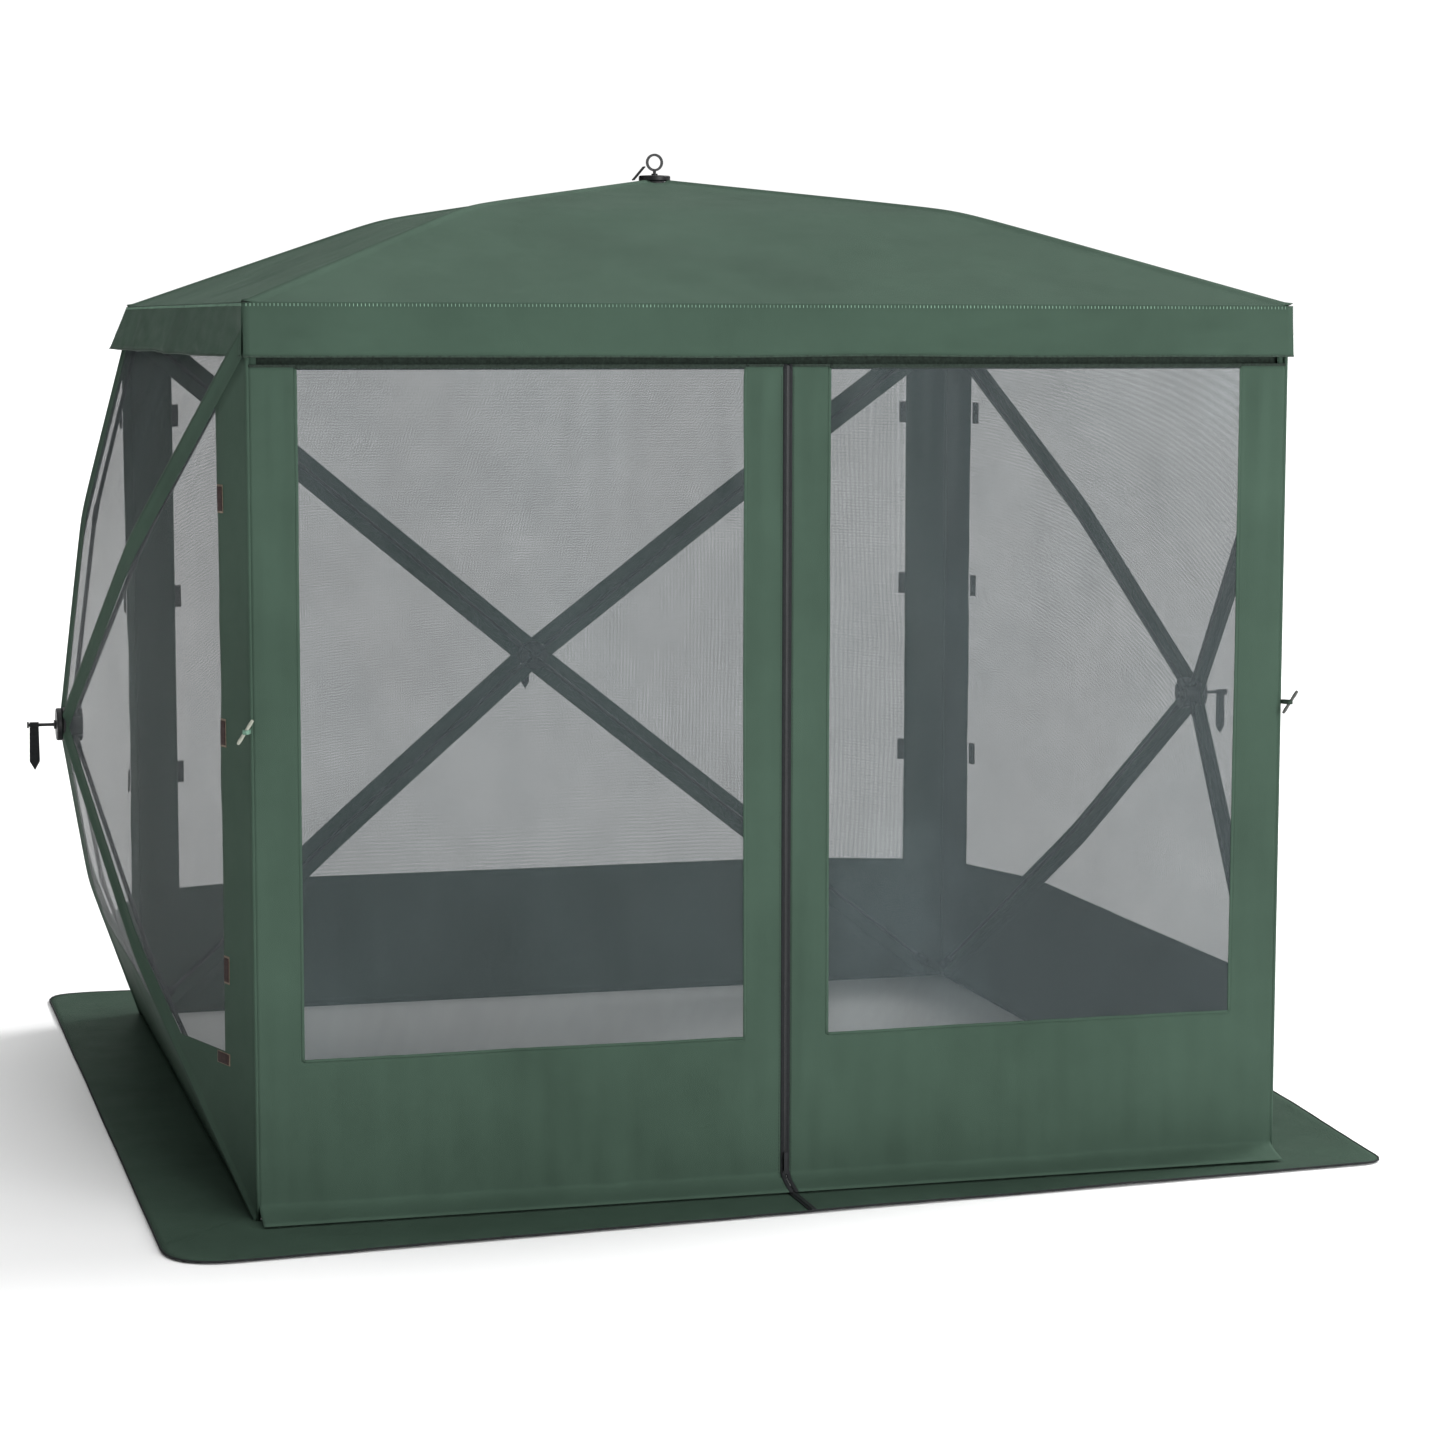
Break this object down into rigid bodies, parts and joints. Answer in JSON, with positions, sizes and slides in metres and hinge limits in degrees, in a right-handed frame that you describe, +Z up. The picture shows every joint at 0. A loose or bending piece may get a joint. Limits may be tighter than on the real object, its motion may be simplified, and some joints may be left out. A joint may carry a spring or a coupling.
{
  "type": "screen house",
  "caption": "Square pop-up screen house: three bowed hub walls and a hub roof over fibreglass poles, a zipped two-part mesh door wall, valance and ground skirt.",
  "frame": {"origin": "On the ground, below the centre of the overall footprint.", "axes": "+Z up; +X to the right seen from the door; +Y from the door wall to the back wall."},
  "size_m": [3.178, 3.0792, 2.384],
  "materials": {
    "fabric": "woven polyester with a light sheen",
    "mesh": "fine see-through insect mesh",
    "black_plastic": "moulded nylon with a fine grain",
    "pin": "plain steel pins",
    "pole": "smooth pultruded fibreglass with metal ferrules",
    "webbing": "ribbed flat webbing",
    "zip": "coil zip on woven tape",
    "toggle": "turned stick on a fabric loop"
  },
  "bodies": {
    "shell": {"ground_skirt": "fabric", "wall_binding": "fabric", "valance": "fabric", "pole_pockets": "webbing", "tie_back_toggles": "toggle"},
    "left_hub": {"left_hub_body": "black_plastic", "left_hub_pins": "pin", "left_hub_cap": "black_plastic"},
    "left_pole_top_front": {"left_pole_top_front": "pole"},
    "left_pole_top_rear": {"left_pole_top_rear": "pole"},
    "left_pole_foot_front": {"left_pole_foot_front": "pole"},
    "left_pole_foot_rear": {"left_pole_foot_rear": "pole"},
    "left_panel_top": {"left_panel_top": "mesh"},
    "left_panel_bottom": {"left_panel_bottom": "fabric"},
    "left_panel_front": {"left_panel_front": "mesh"},
    "left_panel_rear": {"left_panel_rear": "mesh"},
    "left_pull": {"left_pull_strap": "webbing"},
    "back_hub": {"back_hub_body": "black_plastic", "back_hub_pins": "pin", "back_hub_cap": "black_plastic"},
    "back_pole_top_left": {"back_pole_top_left": "pole"},
    "back_pole_top_right": {"back_pole_top_right": "pole"},
    "back_pole_foot_left": {"back_pole_foot_left": "pole"},
    "back_pole_foot_right": {"back_pole_foot_right": "pole"},
    "back_panel_top": {"back_panel_top": "mesh"},
    "back_panel_bottom": {"back_panel_bottom": "fabric"},
    "back_panel_left": {"back_panel_left": "mesh"},
    "back_panel_right": {"back_panel_right": "mesh"},
    "back_pull": {"back_pull_strap": "webbing"},
    "right_hub": {"right_hub_body": "black_plastic", "right_hub_pins": "pin", "right_hub_cap": "black_plastic"},
    "right_pole_top_rear": {"right_pole_top_rear": "pole"},
    "right_pole_top_front": {"right_pole_top_front": "pole"},
    "right_pole_foot_rear": {"right_pole_foot_rear": "pole"},
    "right_pole_foot_front": {"right_pole_foot_front": "pole"},
    "right_panel_top": {"right_panel_top": "mesh"},
    "right_panel_bottom": {"right_panel_bottom": "fabric"},
    "right_panel_rear": {"right_panel_rear": "mesh"},
    "right_panel_front": {"right_panel_front": "mesh"},
    "right_pull": {"right_pull_strap": "webbing"},
    "roof_hub": {"roof_hub_body": "black_plastic", "roof_hub_pins": "pin", "roof_hub_cap": "black_plastic"},
    "roof_pole_front_right": {"roof_pole_front_right": "pole"},
    "roof_pole_front_left": {"roof_pole_front_left": "pole"},
    "roof_pole_rear_right": {"roof_pole_rear_right": "pole"},
    "roof_pole_rear_left": {"roof_pole_rear_left": "pole"},
    "roof_panel_rear": {"roof_panel_rear": "fabric"},
    "roof_panel_front": {"roof_panel_front": "fabric"},
    "roof_panel_right": {"roof_panel_right": "fabric"},
    "roof_panel_left": {"roof_panel_left": "fabric"},
    "roof_pull": {"roof_pull_strap": "webbing"},
    "door_left": {"door_frame_left": "fabric", "door_mesh_left": "mesh", "zip_tape_left": "zip"},
    "door_right": {"door_frame_right": "fabric", "door_mesh_right": "mesh", "zip_tape_right": "zip"},
    "zip_slider": {"zip_slider": "zip"}
  },
  "joints": [
    {"name": "left_hub_pop", "type": "slide", "parent": "shell", "child": "left_hub", "axis": [-1, 0, 0], "range_m": [-0.61, 0], "deforming": ["pole_pockets"]},
    {"name": "left_pole_top_front_fold", "type": "hinge", "parent": "left_hub", "child": "left_pole_top_front", "pos_m": [-1.477, -0.07788, 0.99392], "axis": [0, -0.6306, -0.7761], "range_deg": [0, 22.76]},
    {"name": "left_pole_top_rear_fold", "type": "hinge", "parent": "left_hub", "child": "left_pole_top_rear", "pos_m": [-1.477, -0.03132, 0.99392], "axis": [0, -0.6306, 0.7761], "range_deg": [0, 22.76]},
    {"name": "left_pole_foot_front_fold", "type": "hinge", "parent": "left_hub", "child": "left_pole_foot_front", "pos_m": [-1.477, -0.07788, 0.95608], "axis": [0, 0.6306, -0.7761], "range_deg": [0, 22.76]},
    {"name": "left_pole_foot_rear_fold", "type": "hinge", "parent": "left_hub", "child": "left_pole_foot_rear", "pos_m": [-1.477, -0.03132, 0.95608], "axis": [0, 0.6306, 0.7761], "range_deg": [0, 22.76]},
    {"name": "left_panel_top_swing", "type": "hinge", "parent": "shell", "child": "left_panel_top", "pos_m": [-1.2, -0.0546, 1.95], "axis": [0, -1, 0], "range_deg": [0, 34.75]},
    {"name": "left_panel_bottom_swing", "type": "hinge", "parent": "shell", "child": "left_panel_bottom", "pos_m": [-1.2, -0.0546, 0], "axis": [0, 1, 0], "range_deg": [0, 34.75]},
    {"name": "left_panel_front_swing", "type": "hinge", "parent": "shell", "child": "left_panel_front", "pos_m": [-1.2, -1.2546, 0.975], "axis": [0, 0, -1], "range_deg": [0, 28.53]},
    {"name": "left_panel_rear_swing", "type": "hinge", "parent": "shell", "child": "left_panel_rear", "pos_m": [-1.2, 1.1454, 0.975], "axis": [0, 0, 1], "range_deg": [0, 28.53]},
    {"name": "left_pull_swing", "type": "hinge", "parent": "left_hub", "child": "left_pull", "pos_m": [-1.572, -0.0546, 0.975], "axis": [1, 0, 0], "range_deg": [-80, 80]},
    {"name": "back_hub_pop", "type": "slide", "parent": "shell", "child": "back_hub", "axis": [0, 1, 0], "range_m": [-0.61, 0]},
    {"name": "back_pole_top_left_fold", "type": "hinge", "parent": "back_hub", "child": "back_pole_top_left", "pos_m": [-0.02328, 1.4224, 0.99392], "axis": [-0.6306, 0, -0.7761], "range_deg": [0, 22.76]},
    {"name": "back_pole_top_right_fold", "type": "hinge", "parent": "back_hub", "child": "back_pole_top_right", "pos_m": [0.02328, 1.4224, 0.99392], "axis": [-0.6306, 0, 0.7761], "range_deg": [0, 22.76]},
    {"name": "back_pole_foot_left_fold", "type": "hinge", "parent": "back_hub", "child": "back_pole_foot_left", "pos_m": [-0.02328, 1.4224, 0.95608], "axis": [0.6306, 0, -0.7761], "range_deg": [0, 22.76]},
    {"name": "back_pole_foot_right_fold", "type": "hinge", "parent": "back_hub", "child": "back_pole_foot_right", "pos_m": [0.02328, 1.4224, 0.95608], "axis": [0.6306, 0, 0.7761], "range_deg": [0, 22.76]},
    {"name": "back_panel_top_swing", "type": "hinge", "parent": "shell", "child": "back_panel_top", "pos_m": [0, 1.1454, 1.95], "axis": [-1, 0, 0], "range_deg": [0, 34.75]},
    {"name": "back_panel_bottom_swing", "type": "hinge", "parent": "shell", "child": "back_panel_bottom", "pos_m": [0, 1.1454, 0], "axis": [1, 0, 0], "range_deg": [0, 34.75]},
    {"name": "back_panel_left_swing", "type": "hinge", "parent": "shell", "child": "back_panel_left", "pos_m": [-1.2, 1.1454, 0.975], "axis": [0, 0, -1], "range_deg": [0, 28.53]},
    {"name": "back_panel_right_swing", "type": "hinge", "parent": "shell", "child": "back_panel_right", "pos_m": [1.2, 1.1454, 0.975], "axis": [0, 0, 1], "range_deg": [0, 28.53]},
    {"name": "back_pull_swing", "type": "hinge", "parent": "back_hub", "child": "back_pull", "pos_m": [0, 1.5324, 0.975], "axis": [1, 0, 0], "range_deg": [-35, 75]},
    {"name": "right_hub_pop", "type": "slide", "parent": "shell", "child": "right_hub", "axis": [1, 0, 0], "range_m": [-0.61, 0]},
    {"name": "right_pole_top_rear_fold", "type": "hinge", "parent": "right_hub", "child": "right_pole_top_rear", "pos_m": [1.477, -0.03132, 0.99392], "axis": [0, 0.6306, -0.7761], "range_deg": [0, 22.76]},
    {"name": "right_pole_top_front_fold", "type": "hinge", "parent": "right_hub", "child": "right_pole_top_front", "pos_m": [1.477, -0.07788, 0.99392], "axis": [0, 0.6306, 0.7761], "range_deg": [0, 22.76]},
    {"name": "right_pole_foot_rear_fold", "type": "hinge", "parent": "right_hub", "child": "right_pole_foot_rear", "pos_m": [1.477, -0.03132, 0.95608], "axis": [0, -0.6306, -0.7761], "range_deg": [0, 22.76]},
    {"name": "right_pole_foot_front_fold", "type": "hinge", "parent": "right_hub", "child": "right_pole_foot_front", "pos_m": [1.477, -0.07788, 0.95608], "axis": [0, -0.6306, 0.7761], "range_deg": [0, 22.76]},
    {"name": "right_panel_top_swing", "type": "hinge", "parent": "shell", "child": "right_panel_top", "pos_m": [1.2, -0.0546, 1.95], "axis": [0, 1, 0], "range_deg": [0, 34.75]},
    {"name": "right_panel_bottom_swing", "type": "hinge", "parent": "shell", "child": "right_panel_bottom", "pos_m": [1.2, -0.0546, 0], "axis": [0, -1, 0], "range_deg": [0, 34.75]},
    {"name": "right_panel_rear_swing", "type": "hinge", "parent": "shell", "child": "right_panel_rear", "pos_m": [1.2, 1.1454, 0.975], "axis": [0, 0, -1], "range_deg": [0, 28.53]},
    {"name": "right_panel_front_swing", "type": "hinge", "parent": "shell", "child": "right_panel_front", "pos_m": [1.2, -1.2546, 0.975], "axis": [0, 0, 1], "range_deg": [0, 28.53]},
    {"name": "right_pull_swing", "type": "hinge", "parent": "right_hub", "child": "right_pull", "pos_m": [1.572, -0.0546, 0.975], "axis": [1, 0, 0], "range_deg": [-80, 80]},
    {"name": "roof_hub_pop", "type": "slide", "parent": "shell", "child": "roof_hub", "axis": [0, 0, 1], "range_m": [-0.63, 0]},
    {"name": "roof_pole_front_right_fold", "type": "hinge", "parent": "roof_hub", "child": "roof_pole_front_right", "pos_m": [0.02121, -0.07581, 2.287], "axis": [-0.7071, -0.7071, 0], "range_deg": [0, 21.41]},
    {"name": "roof_pole_front_left_fold", "type": "hinge", "parent": "roof_hub", "child": "roof_pole_front_left", "pos_m": [-0.02121, -0.07581, 2.287], "axis": [-0.7071, 0.7071, 0], "range_deg": [0, 21.41]},
    {"name": "roof_pole_rear_right_fold", "type": "hinge", "parent": "roof_hub", "child": "roof_pole_rear_right", "pos_m": [0.02121, -0.03339, 2.287], "axis": [0.7071, -0.7071, 0], "range_deg": [0, 21.41]},
    {"name": "roof_pole_rear_left_fold", "type": "hinge", "parent": "roof_hub", "child": "roof_pole_rear_left", "pos_m": [-0.02121, -0.03339, 2.287], "axis": [0.7071, 0.7071, 0], "range_deg": [0, 21.41]},
    {"name": "roof_panel_rear_swing", "type": "hinge", "parent": "shell", "child": "roof_panel_rear", "pos_m": [0, 1.1454, 2], "axis": [1, 0, 0], "range_deg": [0, 29.43]},
    {"name": "roof_panel_front_swing", "type": "hinge", "parent": "shell", "child": "roof_panel_front", "pos_m": [0, -1.2546, 2], "axis": [-1, 0, 0], "range_deg": [0, 29.43]},
    {"name": "roof_panel_right_swing", "type": "hinge", "parent": "shell", "child": "roof_panel_right", "pos_m": [1.2, -0.0546, 2], "axis": [0, -1, 0], "range_deg": [0, 29.43]},
    {"name": "roof_panel_left_swing", "type": "hinge", "parent": "shell", "child": "roof_panel_left", "pos_m": [-1.2, -0.0546, 2], "axis": [0, 1, 0], "range_deg": [0, 29.43]},
    {"name": "roof_pull_swing", "type": "hinge", "parent": "roof_hub", "child": "roof_pull", "pos_m": [-0.027, -0.0546, 2.351], "axis": [0, 1, 0], "range_deg": [0, 60]},
    {"name": "door_left_open", "type": "hinge", "parent": "shell", "child": "door_left", "pos_m": [-1.192, -1.2546, 0], "axis": [0, 0, -1], "range_deg": [0, 90]},
    {"name": "door_right_open", "type": "hinge", "parent": "shell", "child": "door_right", "pos_m": [1.192, -1.2546, 0], "axis": [0, 0, 1], "range_deg": [0, 90]},
    {"name": "zip_slide", "type": "slide", "parent": "door_left", "child": "zip_slider", "axis": [0, 0, 1], "range_m": [0, 1.77]}
  ],
  "couplings": [
    {"joint": "left_pole_top_front_fold", "follows": "left_hub_pop", "rad_per_m": -0.65087},
    {"joint": "left_pole_top_rear_fold", "follows": "left_hub_pop", "rad_per_m": -0.65087},
    {"joint": "left_pole_foot_front_fold", "follows": "left_hub_pop", "rad_per_m": -0.65087},
    {"joint": "left_pole_foot_rear_fold", "follows": "left_hub_pop", "rad_per_m": -0.65087},
    {"joint": "left_panel_top_swing", "follows": "left_hub_pop", "rad_per_m": -0.99402},
    {"joint": "left_panel_bottom_swing", "follows": "left_hub_pop", "rad_per_m": -0.99402},
    {"joint": "left_panel_front_swing", "follows": "left_hub_pop", "rad_per_m": -0.81605},
    {"joint": "left_panel_rear_swing", "follows": "left_hub_pop", "rad_per_m": -0.81605},
    {"joint": "back_pole_top_left_fold", "follows": "back_hub_pop", "rad_per_m": -0.65087},
    {"joint": "back_pole_top_right_fold", "follows": "back_hub_pop", "rad_per_m": -0.65087},
    {"joint": "back_pole_foot_left_fold", "follows": "back_hub_pop", "rad_per_m": -0.65087},
    {"joint": "back_pole_foot_right_fold", "follows": "back_hub_pop", "rad_per_m": -0.65087},
    {"joint": "back_panel_top_swing", "follows": "back_hub_pop", "rad_per_m": -0.99402},
    {"joint": "back_panel_bottom_swing", "follows": "back_hub_pop", "rad_per_m": -0.99402},
    {"joint": "back_panel_left_swing", "follows": "back_hub_pop", "rad_per_m": -0.81605},
    {"joint": "back_panel_right_swing", "follows": "back_hub_pop", "rad_per_m": -0.81605},
    {"joint": "right_pole_top_rear_fold", "follows": "right_hub_pop", "rad_per_m": -0.65087},
    {"joint": "right_pole_top_front_fold", "follows": "right_hub_pop", "rad_per_m": -0.65087},
    {"joint": "right_pole_foot_rear_fold", "follows": "right_hub_pop", "rad_per_m": -0.65087},
    {"joint": "right_pole_foot_front_fold", "follows": "right_hub_pop", "rad_per_m": -0.65087},
    {"joint": "right_panel_top_swing", "follows": "right_hub_pop", "rad_per_m": -0.99402},
    {"joint": "right_panel_bottom_swing", "follows": "right_hub_pop", "rad_per_m": -0.99402},
    {"joint": "right_panel_rear_swing", "follows": "right_hub_pop", "rad_per_m": -0.81605},
    {"joint": "right_panel_front_swing", "follows": "right_hub_pop", "rad_per_m": -0.81605},
    {"joint": "roof_pole_front_right_fold", "follows": "roof_hub_pop", "rad_per_m": -0.59287},
    {"joint": "roof_pole_front_left_fold", "follows": "roof_hub_pop", "rad_per_m": -0.59287},
    {"joint": "roof_pole_rear_right_fold", "follows": "roof_hub_pop", "rad_per_m": -0.59287},
    {"joint": "roof_pole_rear_left_fold", "follows": "roof_hub_pop", "rad_per_m": -0.59287},
    {"joint": "roof_panel_rear_swing", "follows": "roof_hub_pop", "rad_per_m": -0.81495},
    {"joint": "roof_panel_front_swing", "follows": "roof_hub_pop", "rad_per_m": -0.81495},
    {"joint": "roof_panel_right_swing", "follows": "roof_hub_pop", "rad_per_m": -0.81495},
    {"joint": "roof_panel_left_swing", "follows": "roof_hub_pop", "rad_per_m": -0.81495}
  ]
}
